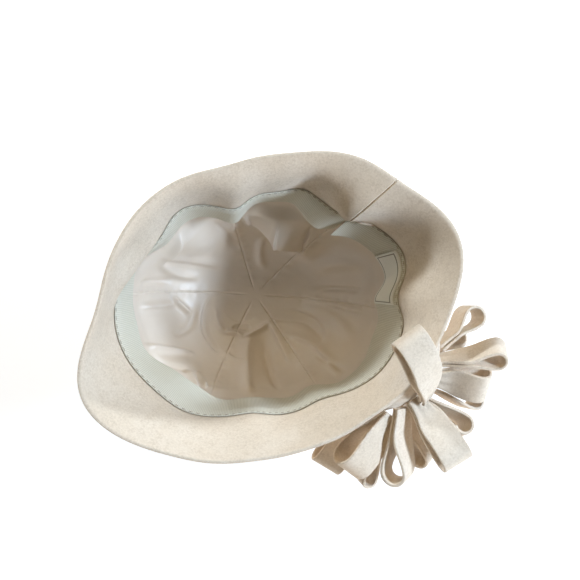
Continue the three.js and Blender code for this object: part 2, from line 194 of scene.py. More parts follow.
# Each loop's root on the pad (along the brim, up it, its middle's height over the pad, and its gathered
# width), its heading in plan, its rise above level, the roll of the strip about its own way (0 is on edge,
# 90 is flat), its reach, its half belly, the share of it where its two sides begin to part, and how much it
# bends over its width, bends sideways and twists up to its tip
LOOPS = {
    "loop_over_brim": (-8, 10, 5.75, 8, 76, 58.5, 150, 55, 6.25, 0.02, -74, -10, -24),
    "loop_front": (-11, 6, 0.5, 12, -51, 12, 56, 49, 5.5, 0.25, -16, 0, 22),
    "loop_front_low": (-13, -11, 3.25, 8, -64, -12, 42, 50, 6, 0.25, 0, 0, 0),
    "loop_corner": (-8, -5, 2.25, 9, -36, -4, -24, 43, 6, 0.25, 0, 0, 0),
    "loop_corner_low": (-6, -14.5, 4.25, 5, -42, -31, -24, 53, 5, 0.25, 0, 0, 0),
    "loop_right_thin": (-1, -11, 3, 7, -20, -20, -6, 49, 5, 0.25, 0, 0, 0),
    "loop_right_flat": (5, 1, 2.25, 12, -8, -3, -56, 36, 6.5, 0.25, 0, 0, 0),
    "loop_right_upper": (15, 4, 1, 12, 7, 8, 26, 42, 5.5, 0.4, 0, 0, 0),
    "loop_back_upper": (21, -2, 2.75, 9, 45, -11, 10, 36, 6.5, 0.35, 0, 0, 0),
    "loop_back_low": (15, -11, 2.75, 5, 26, -38, 10, 33, 5, 0.25, 0, 0, 0),
    "loop_left_long": (-18.5, 7, 2, 13, 266, -7, 54, 48.5, 7.5, 0.3, 0, 0, -36),
    "loop_left_narrow": (-21.5, -11, 4, 7, 258, -18, -26, 60, 4.5, 0.25, 0, 0, 0),
    "loop_left_wide": (-26, 5.5, 5.5, 13, 229, -1, 60, 45, 9, 0, 0, 0, 0),
    "loop_left_low": (-29.5, -6, 4.25, 9, 232, -18, 76, 53, 5.5, 0.25, 0, 0, 0),
}

# Colours, in linear light
FELT_DULL = (0.83, 0.71, 0.575)
FELT_PALE = (0.85, 0.74, 0.615)
FELT_FLECK = (0.69, 0.575, 0.45)
SATIN_DULL = (0.79, 0.69, 0.585)
SATIN_PALE = (0.83, 0.735, 0.635)
RIBBON_DULL = (0.78, 0.745, 0.635)
RIBBON_PALE = (0.81, 0.78, 0.675)
# painted shade: the ribbon's colour in the grooves between its ribs
RIBBON_GROOVE_SHADE = (0.66, 0.63, 0.52)
# painted shade and painted light: the tag's colour in the twill's lows and on its ridges
TAG_TWILL_SHADE = (0.86, 0.85, 0.78)
TAG_TWILL_LIT = (0.93, 0.92, 0.87)
TAG_LINE = (0.30, 0.28, 0.25)
TAUPE = ((0.26, 0.19, 0.13), (0.40, 0.31, 0.22))
IVORY = ((0.62, 0.57, 0.48), (0.74, 0.70, 0.61))
FLOOR_DULL = (0.52, 0.52, 0.52)
FLOOR_PALE = (0.54, 0.54, 0.54)
ROOM = (1.0, 0.74, 0.48)

# Pitch of the weaves, in metres
RIB_PITCH = 0.0012
TWILL_PITCH = 0.0009

# Floor: flat in its middle part, then rising to its edge; it glows round the hat and less further out
FLOOR_FLAT = 1500.0
FLOOR_REACH = 4000.0
FLOOR_RISE = 1500.0
FLOOR_SINK = 0.2  # just under the crown
GLOW = (0.72, 0.17)
GLOW_REACH = (0.34, 1.2)

# Lights: angle round the hat, angle above the floor, height, width, power and colour
LIGHTS = {
    "window_light": (-1, 39.5, 0.13, 0.4, 16, (0.68, 0.825, 1.0)),
    "side_light": (124, 17.5, 0.12, 0.2, 10.6, (0.82, 0.915, 1.0)),
    "back_light": (92, 53, 0.4, 0.6, 2.6, (1.0, 0.80, 0.45)),
    "front_light": (-85, 6, 0.12, 0.7, 5.2, (1.0, 0.89, 0.74)),
}
LIGHT_DISTANCE = 1.2
LIGHT_AIM = (0.02, -0.01, 0.08)
ROOM_LIGHT = 0.02

# Camera, with its focal length and the picture's side in pixels
EYE = (0.0267, 0.003, 0.826)
FOCAL = 1080
PICTURE = 580
SENSOR = 36


# Shape functions

def bump(value, at, spread):
    """A smooth bump of height 1: e to the minus square of the distance over the spread."""
    return np.exp(-(((value - at) / spread) ** 2))


def bump_round(angle, at, spread):
    """The same bump over an angle, all the way round."""
    away = (angle - at + 180) % 360 - 180
    return np.exp(-((away / spread) ** 2))


def smooth(value, low, high):
    """Rises from 0 at low to 1 at high along three squares less two cubes."""
    t = np.clip((value - low) / (high - low), 0, 1)
    return t * t * (3 - 2 * t)


def mix(a, b, t):
    """A straight blend from a to b."""
    return a + (b - a) * t


def oval_radius(angle, oval):
    """Radius of a turned oval: one over the length of (cosine over half length, sine over half width)."""
    a = np.radians(angle - oval[4])
    return 1 / np.hypot(np.cos(a) / oval[2], np.sin(a) / oval[3])


def fold_sum(angle, folds):
    """Sum of the folds' bumps at an angle."""
    return sum(out * bump_round(angle, at, spread) for at, out, spread in folds)


def polar(angle, radius, x, y, z):
    """Points at a radius and an angle round a centre, at a height."""
    a = np.radians(angle)
    return np.stack(np.broadcast_arrays(x + radius * np.cos(a), y + radius * np.sin(a), z), -1)


def crown_point(angle, share, depth, ease=0.0):
    """A point of the crown. Share is 0 at the tip and 1 at the headline, depth goes in from the outside.

    The profile is a quarter of a superellipse cut flat at the floor, on the headline's folded oval. Ease
    rounds the corner at the flat: half the sum of the two heights plus the root of their squared
    difference plus the ease squared.
    """
    fall = np.cos(share * math.pi / 2) ** ROUNDNESS
    wide = np.sin(share * math.pi / 2) ** ROUNDNESS
    curve = (CROWN_DEPTH + PRESSED) * (1 - fall) - PRESSED + depth * fall
    z = (depth + curve + np.hypot(depth - curve, ease)) / 2
    folds = fold_sum(angle, HEADLINE_FOLDS) * smooth(share, 1 - FOLD_FADE, 1)
    radius = (oval_radius(angle, HEADLINE) + folds - depth) * wide
    lean = z / CROWN_DEPTH
    return polar(angle, radius, HEADLINE[0] * lean, HEADLINE[1] * lean, z)


def brim_point(angle, share, depth):
    """A point of the brim: its radius goes from the headline's to the edge's along a power of share."""
    head = oval_radius(angle, HEADLINE) + fold_sum(angle, HEADLINE_FOLDS)
    edge = oval_radius(angle, BRIM_EDGE) + fold_sum(angle, EDGE_FOLDS)
    bulge = sum(
        out * bump_round(angle, at, spread) * bump(share, up, spread_up)
        for at, up, out, spread, spread_up in BRIM_BULGES
    )
    fade = np.clip(share / 0.15, 0, 1)
    curl = BRIM_CURL + BACK_CURL[1] * bump_round(angle, BACK_CURL[0], BACK_CURL[2])
    radius = mix(head, edge, np.clip(share, 0, None) ** curl) + bulge * fade - depth
    tall = BRIM_DEPTH + BRIM_LONGER * np.cos(2 * np.radians(angle - BRIM_EDGE[4]))
    x = mix(HEADLINE[0], BRIM_EDGE[0], share)
    y = mix(HEADLINE[1], BRIM_EDGE[1], share)
    return polar(angle, radius, x, y, CROWN_DEPTH + GAP + share * (tall - GAP))


def share_at(below):
    """Share of the crown at a height below the headline."""
    return (2 / math.pi) * np.arccos((below / (CROWN_DEPTH + PRESSED)) ** (1 / ROUNDNESS))


def seam_arc(angle, at, radius):
    """Signed distance round the hat from a seam, in millimetres."""
    return np.radians((angle - at + 180) % 360 - 180) * radius


def band_lean(angle):
    """How far the ribbon's free edge leans in off the wall."""
    return BAND_LEAN + sum(depth * bump_round(angle, at, spread) for at, depth, spread in BAND_LEANS)


def lining_creases(angle, share):
    """Sum of soft ridges and grooves on the flat cut, each along a bowed line between two points."""
    a = np.radians(angle)
    x = CUT_REACH * share * np.cos(a)
    y = CUT_REACH * share * np.sin(a)
    total = np.zeros(np.broadcast(x, y).shape)
    for angle_a, share_a, angle_b, share_b, bow, height, right, left in LINING_CREASES:
        ax = CUT_REACH * share_a * math.cos(math.radians(angle_a))
        ay = CUT_REACH * share_a * math.sin(math.radians(angle_a))
        bx = CUT_REACH * share_b * math.cos(math.radians(angle_b)) - ax
        by = CUT_REACH * share_b * math.sin(math.radians(angle_b)) - ay
        long = math.hypot(bx, by)
        t = ((x - ax) * bx + (y - ay) * by) / long**2
        side = ((x - ax) * by - (y - ay) * bx) / long - bow * np.sin(math.pi * np.clip(t, 0, 1))
        ends = smooth(t, -0.12, 0.25) * (1 - smooth(t, 0.75, 1.12))
        half_width = np.where(side > 0, CREASE_WIDTH * right, CREASE_WIDTH * left)
        total = total + height * ends * np.exp(-((side / half_width) ** 2))
    return total


def lining_off(angle, share):
    """How far the loose lining stands off the felt: puffs, creases, seams, a belly behind the ribbon."""
    puffs = 0
    for at, up, rise, depth, spread, above, below in LINING_PUFFS:
        middle = up + rise * ((angle - at + 180) % 360 - 180)
        puff = bump(share, middle, np.where(share > middle, above, below))
        puffs = puffs + depth * bump_round(angle, at, spread) * puff
    radius = oval_radius(angle, HEADLINE) * np.sin(share * math.pi / 2) ** ROUNDNESS
    drawn = 0
    groove = 0
    for at in GORE_SEAMS:
        arc = seam_arc(angle, at, radius)
        drawn = drawn + GORE_DRAW[0] * bump(arc, 0, GORE_DRAW[1])
        pucker = GORE_PUCKER[0] * np.sin(share * GORE_PUCKER[2] + at) * bump(arc, 0, GORE_PUCKER[1])
        sunk = GORE_GROOVE[0] * bump(arc, 0, GORE_GROOVE[1])
        groove = groove + (pucker - sunk) * smooth(share, 0.02, 0.06)
    creases = CREASE_RISE * lining_creases(angle, share) * smooth(share, 0.03, 0.2)
    under_band = 1 - smooth(share, 0.72, 0.84)
    slack = LINING_SLACK * smooth(share, 0.05, 0.3)
    loose = np.maximum(slack + puffs + drawn * smooth(share, 0.1, 0.4) + creases, 0.2) + groove + 0.6
    below = (CROWN_DEPTH + PRESSED) * np.cos(share * math.pi / 2) ** ROUNDNESS
    behind = np.clip(below / BAND_WIDTH, 0, 1) * (1 - smooth(below, BAND_WIDTH, 2.4 * BAND_WIDTH))
    return loose * under_band + 0.8 * band_lean(angle) * behind


def band_point(angle, share, depth):
    """A point of the sweatband. Share runs from its sewn edge at the headline to its free edge.

    It lies along the crown's inner wall, leans in towards its free edge, and waves a little there as sines.
    It keeps its width, so the free edge comes up where it leans, and most at the end over the seam.
    """
    under = FELT + mix(SEWN_GAP, 2 * GAP + SATIN, smooth(share, 0.0, 0.16))
    from_seam = (BACK_SEAM - angle) % 360
    lift = BAND_END_LIFT[0] * bump(from_seam, 0, BAND_END_LIFT[1])
    lift = lift - BAND_END_DROP[0] * bump(from_seam, 360, BAND_END_DROP[1])
    wave = sum(high * np.sin(np.radians(angle * count + phase)) for high, count, phase in BAND_WAVES)
    lean = band_lean(angle)
    off = lean * share + wave * np.clip(share, 0, 1) ** 2 + lift * np.clip(share, 0, 1) ** 1.5
    rise = BAND_END_RISE[0] * bump(from_seam, 0, BAND_END_RISE[1])
    upright = np.sqrt(1 - (lean / BAND_WIDTH) ** 2) - rise
    return crown_point(angle, share_at(BAND_BELOW + share * BAND_WIDTH * upright), under + off + depth)


def along_band(share):
    """Angle round the hat at a share of the ribbon's length from its end."""
    return BACK_SEAM + 360 - mix(BAND_END_GAP, 360 - BAND_END_GAP, share)


def over_brim(along, up, height):
    """A point over the outside of the brim, by its distances from the pad's middle."""
    hub = np.array([BRIM_EDGE[0], BRIM_EDGE[1], CROWN_DEPTH])
    middle = np.linalg.norm(brim_point(np.float64(PAD_AT), np.float64(PAD_UP), 0.0) - hub)
    return brim_point(PAD_AT + np.degrees(along / middle), PAD_UP + up / BRIM_DEPTH, -GAP - height)


def pad_height(along, up):
    """Half an ellipsoid over the brim."""
    return PAD[2] * np.sqrt(np.clip(1 - (along / PAD[0]) ** 2 - (up / PAD[1]) ** 2, 0, 1))


def turned(vectors, axis, angles):
    """Vectors turned about an axis by angles in radians: the usual sum of three parts."""
    c = np.cos(angles)[..., None]
    s = np.sin(angles)[..., None]
    dot = (vectors * axis).sum(-1, keepdims=True)
    return vectors * c + np.cross(axis, vectors) * s + axis * dot * (1 - c)


def unit(vectors):
    """Vectors divided by their lengths."""
    return vectors / np.linalg.norm(vectors, axis=-1, keepdims=True)


# Profiles

def wall_profile(tall, thick, edge, foot, rows_out, rows_in):
    """A wall's closed outline as (share, depth): up the outside, over its edge, down the inside.

    Edge and foot are flat, and their corners are quarter circles of two radii.
    """
    e = edge / tall
    f = foot / tall
    corner = np.linspace(0, math.pi / 2, 5)
    by_sine = 1 - np.sin(corner)
    by_cosine = 1 - np.cos(corner)
    share = np.concatenate([
        np.linspace(f, 1 - e, rows_out), 1 - e * by_sine[1:], 1 - e * by_cosine[:-1],
        np.linspace(1 - e, f, rows_in), f * by_sine[1:], f * by_cosine[:-1],
    ])
    depth = np.concatenate([
        np.zeros(rows_out), edge * by_cosine[1:], thick - edge * by_sine[:-1],
        np.full(rows_in, thick), thick - foot * by_cosine[1:], foot * by_sine[:-1],
    ])
    return share, depth


def strip_profile(thick, radius, rows):
    """A strip's closed outline: how far along the half width it lies, what it adds there, and its height.

    The corners are quarter circles, the two faces are straight.
    """
    q = np.linspace(0, math.pi / 2, 4)
    face = np.linspace(1, -1, rows)
    h = thick / 2 - radius
    side = np.concatenate([np.ones(4), face[1:-1], -np.ones(4), -np.ones(4), face[::-1][1:-1], np.ones(4)])
    extra = radius * np.concatenate([
        np.cos(q), np.zeros(rows - 2), -np.sin(q), -np.cos(q), np.zeros(rows - 2), np.sin(q),
    ])
    through = np.concatenate([
        h + radius * np.sin(q), np.full(rows - 2, thick / 2), h + radius * np.cos(q),
        -h - radius * np.sin(q), np.full(rows - 2, -thick / 2), -h - radius * np.cos(q),
    ])
    return side, extra, through


def crowded(steps, places, tight, spread):
    """Angles all the way round that lie closer together near some places."""
    fine = np.linspace(0, 360, 7201)
    density = 1 + tight * sum(bump_round(fine, at, spread) for at in places)
    total = np.concatenate([[0], np.cumsum((density[1:] + density[:-1]) / 2)])
    return np.interp(np.arange(steps) * total[-1] / steps, total, fine)


# Meshes

def grid_piece(name, points, closed_rows, closed_columns, u, v, material, ends=False):
    """A mesh over a grid of points in millimetres, or over many grids of one size, with (u, v) as its map.

    Closed directions join the last line of points to the first one. Poles and ends are closed.
    """
    rows, columns = points.shape[-3:-1]
    copies = points.size // (3 * rows * columns)
    i = np.arange(rows if closed_rows else rows - 1)[:, None]
    j = np.arange(columns if closed_columns else columns - 1)[None, :]
    i, j = np.broadcast_arrays(i, j)
    corners = [(i, j), (i, j + 1), (i + 1, j + 1), (i + 1, j)]
    faces = np.stack([(a % rows) * columns + b % columns for a, b in corners], -1).reshape(-1, 4)
    u = np.append(u, 2 * u[-1] - u[-2])
    v = np.append(v, 2 * v[-1] - v[-2])
    flat = np.stack([np.stack([u[b], v[a]], -1) for a, b in corners], -2).reshape(-1, 2)
    flat = np.tile(flat, (copies, 1))
    faces = faces + np.arange(copies)[:, None, None] * rows * columns
    polygons = faces.reshape(-1, 4).tolist()
    if ends:
        polygons.append(list(range(columns))[::-1])
        polygons.append([(rows - 1) * columns + k for k in range(columns)])
        flat = np.concatenate([flat, np.zeros((2 * columns, 2))])
    mesh = bpy.data.meshes.new(name)
    mesh.from_pydata((points.reshape(-1, 3) / 1000).tolist(), [], polygons)
    layer = mesh.uv_layers.new(name="map")
    layer.data.foreach_set("uv", flat.astype(np.float32).ravel())
    work = bmesh.new()
    work.from_mesh(mesh)
    bmesh.ops.remove_doubles(work, verts=work.verts, dist=1e-6)
    bmesh.ops.recalc_face_normals(work, faces=work.faces)
    work.to_mesh(mesh)
    work.free()
    mesh.polygons.foreach_set("use_smooth", np.ones(len(mesh.polygons), bool))
    mesh.materials.append(material)
    piece = bpy.data.objects.new(name, mesh)
    bpy.context.scene.collection.objects.link(piece)
    return piece


def worn(piece, slot, *nodes):
    """The piece rides with the hat and stands for its solid; the slot is not used."""
    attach(piece, "root")
    if nodes:
        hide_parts(*nodes)
    return piece


# Finishes

def new_finish(name):
    """A new material, with its nodes and its shader."""
    finish = bpy.data.materials.new(name)
    finish.use_nodes = True
    tree = finish.node_tree
    return finish, tree, tree.nodes["Principled BSDF"]


def noise(tree, vector, scale, detail, roughness=0.5):
    """Soft noise over a place."""
    node = tree.nodes.new("ShaderNodeTexNoise")
    node.inputs["Scale"].default_value = scale
    node.inputs["Detail"].default_value = detail
    node.inputs["Roughness"].default_value = roughness
    tree.links.new(vector, node.inputs["Vector"])
    return node.outputs["Fac"]


def spread_to(tree, value, low, high, to_low, to_high):
    """Spreads one range over another by a smooth step."""
    node = tree.nodes.new("ShaderNodeMapRange")
    node.interpolation_type = "SMOOTHSTEP"
    for socket, number in zip(node.inputs[1:5], (low, high, to_low, to_high)):
        socket.default_value = number
    tree.links.new(value, node.inputs["Value"])
    return node.outputs["Result"]


def tint(tree, factor, a, b):
    """Colour a where the factor is 0 and b where it is 1; either may be a socket."""
    node = tree.nodes.new("ShaderNodeMix")
    node.data_type = "RGBA"
    tree.links.new(factor, node.inputs["Factor"])
    sockets = [s for s in node.inputs if s.type == "RGBA"]
    for socket, colour in zip(sockets, (a, b)):
        if isinstance(colour, tuple):
            socket.default_value = (*colour, 1)
        else:
            tree.links.new(colour, socket)
    return next(s for s in node.outputs if s.type == "RGBA")


def arithmetic(tree, operation, a, b=None):
    """One step of arithmetic on sockets or numbers."""
    node = tree.nodes.new("ShaderNodeMath")
    node.operation = operation
    for socket, value in zip(node.inputs, (a, b)):
        if isinstance(value, (int, float)):
            socket.default_value = value
        elif value is not None:
            tree.links.new(value, socket)
    return node.outputs["Value"]


def raised(tree, shader, height, strength, distance):
    """Relief on a shader from a height."""
    node = tree.nodes.new("ShaderNodeBump")
    node.inputs["Strength"].default_value = strength
    node.inputs["Distance"].default_value = distance
    tree.links.new(height, node.inputs["Height"])
    tree.links.new(node.outputs["Normal"], shader.inputs["Normal"])


def felt_finish():
    """Cream wool felt: soft clouds, fine flecks in patches, matted fibres as relief, and a dull bloom."""
    finish, tree, shader = new_finish("cream_felt")
    place = tree.nodes.new("ShaderNodeTexCoord").outputs["Object"]
    clouds = spread_to(tree, noise(tree, place, 38, 3), 0.35, 0.65, 0, 1)
    flecks = spread_to(tree, noise(tree, place, 700, 3, 0.7), 0.3, 0.7, 0, 1)
    ground = tint(tree, clouds, FELT_DULL, FELT_PALE)
    speckled = tint(tree, flecks, FELT_FLECK, ground)
    patches = spread_to(tree, noise(tree, place, 160, 2), 0.3, 0.7, 0, 0.5)
    tree.links.new(tint(tree, patches, speckled, ground), shader.inputs["Base Color"])
    shader.inputs["Roughness"].default_value = 0.95
    shader.inputs["Specular IOR Level"].default_value = 0.15
    shader.inputs["Sheen Weight"].default_value = 0.2
    shader.inputs["Sheen Roughness"].default_value = 0.5
    fibres = noise(tree, place, 1300, 3, 0.65)
    lumps = noise(tree, place, 260, 2)
    height = arithmetic(tree, "ADD", arithmetic(tree, "MULTIPLY", fibres, 0.5), lumps)
    raised(tree, shader, height, 0.35, 0.0006)
    return finish


def satin_finish():
    """Ivory satin: smooth and softly shiny, with a very fine weave and faint uneven sheen."""
    finish, tree, shader = new_finish("ivory_satin")
    place = tree.nodes.new("ShaderNodeTexCoord").outputs["Object"]
    clouds = spread_to(tree, noise(tree, place, 30, 2), 0.35, 0.65, 0, 1)
    tree.links.new(tint(tree, clouds, SATIN_DULL, SATIN_PALE), shader.inputs["Base Color"])
    sheen = spread_to(tree, noise(tree, place, 90, 3), 0.3, 0.7, 0.42, 0.52)
    tree.links.new(sheen, shader.inputs["Roughness"])
    shader.inputs["IOR"].default_value = 1.7
    shader.inputs["Specular IOR Level"].default_value = 0.7
    shader.inputs["Sheen Weight"].default_value = 0.1
    crinkle = noise(tree, place, 150, 3)
    weave = noise(tree, place, 2400, 1)
    height = arithmetic(tree, "ADD", arithmetic(tree, "MULTIPLY", weave, 0.06), crinkle)
    raised(tree, shader, height, 0.25, 0.0008)
    return finish


def ribbon_finish():
    """Grosgrain: fine ribs across the ribbon with painted shade in the grooves between them, faint clouds
    and a dull sheen.
    """
    finish, tree, shader = new_finish("pale_grosgrain")
    flat = tree.nodes.new("ShaderNodeUVMap")
    parts = tree.nodes.new("ShaderNodeSeparateXYZ")
    tree.links.new(flat.outputs["UV"], parts.inputs["Vector"])
    along = arithmetic(tree, "MULTIPLY", parts.outputs["X"], 2 * math.pi / RIB_PITCH)
    ribs = spread_to(tree, arithmetic(tree, "SINE", along), -1, 1, 0, 1)
    place = tree.nodes.new("ShaderNodeTexCoord").outputs["Object"]
    clouds = spread_to(tree, noise(tree, place, 60, 3), 0.35, 0.65, 0, 1)
    ground = tint(tree, clouds, RIBBON_DULL, RIBBON_PALE)
    # painted shade: the rib grooves take the darker colour, following the rib relief
    tree.links.new(tint(tree, ribs, RIBBON_GROOVE_SHADE, ground), shader.inputs["Base Color"])
    shader.inputs["Roughness"].default_value = 0.62
    shader.inputs["Specular IOR Level"].default_value = 0.4
    shader.inputs["Sheen Weight"].default_value = 0.1
    raised(tree, shader, ribs, 0.5, 0.0003)
    return finish


def tag_finish():
    """Woven ivory tape: a fine twill, painted darker in its lows as shade and paler on its ridges as light,
    and a plain border line along its long edges and its two ends.
    """
    finish, tree, shader = new_finish("woven_tape")
    flat = tree.nodes.new("ShaderNodeUVMap")
    parts = tree.nodes.new("ShaderNodeSeparateXYZ")
    tree.links.new(flat.outputs["UV"], parts.inputs["Vector"])
    across = arithmetic(tree, "ABSOLUTE", parts.outputs["Y"])
    slant = arithmetic(tree, "ADD", parts.outputs["X"], parts.outputs["Y"])
    twill = arithmetic(tree, "SINE", arithmetic(tree, "MULTIPLY", slant, 2 * math.pi / TWILL_PITCH))
    twill = spread_to(tree, twill, -1, 1, 0, 1)
    half_wide = TAG_WIDTH / 2000
    half_long = TAG_LENGTH / 2000
    from_middle = arithmetic(tree, "ABSOLUTE", arithmetic(tree, "SUBTRACT", parts.outputs["X"], half_long))
    to_edge = arithmetic(tree, "SUBTRACT", across, half_wide)
    to_end = arithmetic(tree, "SUBTRACT", from_middle, half_long)
    nearest = arithmetic(tree, "MAXIMUM", to_edge, to_end)
    from_line = arithmetic(tree, "ABSOLUTE", arithmetic(tree, "ADD", nearest, TAG_BORDER))
    border = spread_to(tree, from_line, 0.0002, 0.0005, 1, 0)
    # painted shade in the twill's lows and painted light on its ridges, following the twill relief
    ground = tint(tree, twill, TAG_TWILL_SHADE, TAG_TWILL_LIT)
    tree.links.new(tint(tree, border, ground, TAG_LINE), shader.inputs["Base Color"])
    shader.inputs["Roughness"].default_value = 0.7
    raised(tree, shader, twill, 0.35, 0.0002)
    return finish


def thread_finish(name, dark, light):
    """Sewing thread, lightly twisted."""
    finish, tree, shader = new_finish(name)
    place = tree.nodes.new("ShaderNodeTexCoord").outputs["Object"]
    twist = spread_to(tree, noise(tree, place, 900, 2), 0.3, 0.7, 0, 1)
    tree.links.new(tint(tree, twist, dark, light), shader.inputs["Base Color"])
    shader.inputs["Roughness"].default_value = 0.6
    return finish


cream_felt = felt_finish()
ivory_satin = satin_finish()
pale_grosgrain = ribbon_finish()
woven_tape = tag_finish()
taupe_thread = thread_finish("taupe_thread", *TAUPE)
ivory_thread = thread_finish("ivory_thread", *IVORY)


# Felt crown and brim

def felt_waves(angle, share):
    """Sum of crossing sine waves over the felt."""
    a = np.radians(angle)
    return sum(high * np.sin(turns * a + up * share + phase) for high, turns, up, phase in FELT_WAVES)


def make_crown():
    """The crown's wall: outside from tip to headline, over its edge, and back down the inside."""
    angle = np.linspace(0, 360, 288, endpoint=False)[None, :]
    share = np.concatenate([np.linspace(0, 0.985, 56), np.linspace(0.99, 1, 3), np.linspace(1, 0, 30)])
    over_edge = [0.05, 0.3, 0.9, 1.5, 2.1]
    depth = np.concatenate([np.zeros(56), over_edge, np.full(28, FELT)])
    share, depth = share[:, None], depth[:, None]
    outside = (depth < FELT / 2) * smooth(share, 0.3, 0.5) * (1 - smooth(share, 0.85, 1))
    points = crown_point(angle, share, depth + outside * felt_waves(angle, share))
    piece = grid_piece("felt_crown", points, False, True, angle[0] / 360, share[:, 0], cream_felt)
    return worn(piece, "felt", "crown")


def make_brim():
    """The brim's wall carried round the hat.

    At the back seam it folds inwards along a ridge, both faces dip into a narrow groove, and they swell to
    a low welt on each side of it: each is a smooth bump over the distance from the seam.
    """
    angle = crowded(600, [BACK_SEAM], 9, 1.5)[None, :]
    share, depth = wall_profile(BRIM_DEPTH, FELT, *BRIM_ROUND, 26, 44)
    share, depth = share[:, None], depth[:, None]
    arc = seam_arc(angle, BACK_SEAM, mix(*SEAM_CIRCLE, share))
    inside = np.clip(2 * depth / FELT - 1, -1, 1)
    groove = np.where(inside > 0, SEAM_GROOVE[1], SEAM_GROOVE[2]) * bump(arc, 0, SEAM_GROOVE[0])
    welt = SEAM_WELT[1] * bump(arc, 0, SEAM_WELT[0])
    ridge = SEAM_RIDGE[0] * bump_round(angle, BACK_SEAM, SEAM_RIDGE[1])
    ridge = ridge * np.sin(math.pi * np.clip(share, 0, 1))
    waves = felt_waves(angle, share) * smooth(share, 0, 0.2)
    points = brim_point(angle, share, depth + waves + ridge + inside * (welt - groove))
    v = np.arange(len(share)) / len(share)
    piece = grid_piece("felt_brim", points, True, True, angle[0] / 360, v, cream_felt)
    return worn(piece, "felt", "brim")


# Lining, ribbon and tag

def make_lining():
    """The loose satin bowl: its face with puffs, creases and gore seams, its back closer to the felt."""
    angle = crowded(480, GORE_SEAMS, 3, 2.5)[None, :]
    top = share_at(LINING_TOP)
    face = np.concatenate([np.linspace(0, 0.06, 6)[:-1], np.linspace(0.06, top, 134)])[::-1, None]
    back = np.linspace(0, top, 17)[:, None]
    under = FELT + GAP
    front_points = crown_point(angle, face, under + SATIN + lining_off(angle, face), TIP_EASE)
    back_points = crown_point(angle, back, under + 0.6 * lining_off(angle, back))
    points = np.concatenate([back_points, front_points])
    v = np.concatenate([back[:, 0], 2 * top - face[:, 0]])
    piece = grid_piece("satin_lining", points, False, True, angle[0] / 360, v, ivory_satin)
    return worn(piece, "satin", "lining")


def make_sweatband():
    """The ribbon carried round the headline on its closed outline, with open ends over the back seam."""
    u = np.linspace(0, 1, 900)[:, None]
    side, extra, through = strip_profile(RIBBON, RIBBON_ROUND, 12)
    across = side * (BAND_WIDTH / 2 - RIBBON_ROUND) + extra
    share = across[None, :] / BAND_WIDTH + 0.5
    points = band_point(along_band(u), share, RIBBON / 2 + through[None, :])
    long = u[:, 0] * BAND_LENGTH / 1000
    piece = grid_piece(
        "ribbon_sweatband", points, False, True, across / 1000, long, pale_grosgrain, ends=True
    )
    swap_map(piece)
    return worn(piece, "ribbon", "sweatband")


def swap_map(piece):
    """Turns the map so that its first number runs along the strip."""
    layer = piece.data.uv_layers["map"]
    flat = np.zeros(2 * len(layer.data), np.float32)
    layer.data.foreach_get("uv", flat)
    layer.data.foreach_set("uv", flat.reshape(-1, 2)[:, ::-1].ravel())


def make_tag():
    """The tag's outline carried along the ribbon, a little above it, with its edges lying down."""
    u = np.linspace(0, 1, 60)[:, None]
    side, extra, through = strip_profile(TAG, RIBBON_ROUND, 14)
    across = side * (TAG_WIDTH / 2 - RIBBON_ROUND) + extra
    share = (across[None, :] + TAG_WIDTH / 2) / BAND_WIDTH + TAG_UP
    lie = TAG_BELLY * np.sin(math.pi * u) * np.cos(across[None, :] / TAG_WIDTH * math.pi)
    height = RIBBON + GAP + lie + TAG / 2 + through[None, :]
    points = band_point(along_band(mix(TAG_FROM, TAG_TO, u)), share, height)
    long = u[:, 0] * TAG_LENGTH / 1000
    piece = grid_piece("woven_tag", points, False, True, across / 1000, long, woven_tape, ends=True)
    swap_map(piece)
    return worn(piece, "tag_cloth", "tag")


def make_stitches(name, angle, share, size, depth, slope, thread):
    """Thread stitches on the ribbon: each a round bar along it, thinning to its ends by a fourth power.

    Size is the half length in degrees and the radius, and slope is how far an end rises.
    """
    half_long, radius = size
    t = np.linspace(-1, 1, 7)[None, :, None]
    turn = np.linspace(0, 2 * math.pi, 6, endpoint=False)[None, None, :]
    r = radius * np.sqrt(1 - t**4)
    angle, share = np.broadcast_arrays(angle, share)
    angle, share = angle[:, None, None], share[:, None, None]
    across = share + r * np.sin(turn) / BAND_WIDTH
    height = depth + slope * t + r * np.cos(turn)
    points = band_point(angle + half_long * t, across, height)
    piece = grid_piece(name, points, False, True, turn[0, 0] / (2 * math.pi), t[0, :, 0], thread)
    return worn(piece, "ribbon")


def make_flap():
    """A sliver of the brim's seam edge that stands out beside the seam, just over the ribbon.

    It is a strip's outline that thins to its ends along a half sine, with one face up.
    """
    u = np.linspace(0, 1, 40)[:, None]
    side, extra, through = strip_profile(FLAP_FELT, FLAP_ROUND, 6)
    thin = np.sin(math.pi * (0.05 + 0.9 * u)) ** 0.6
    out = (side * FLAP_HALF_WIDTH + extra)[None, :] * thin
    share = FLAP_UP[0] + FLAP_UP[1] * np.sin(math.pi * u) + through[None, :] * thin / BRIM_DEPTH
    points = brim_point(mix(*FLAP_ANGLES, u), share, FELT + FLAP_OFF[0] + FLAP_OFF[1] * thin + out)
    piece = grid_piece("felt_seam_flap", points, False, True, side * 0.01, u[:, 0], cream_felt, ends=True)
    return worn(piece, "felt")


# Loops

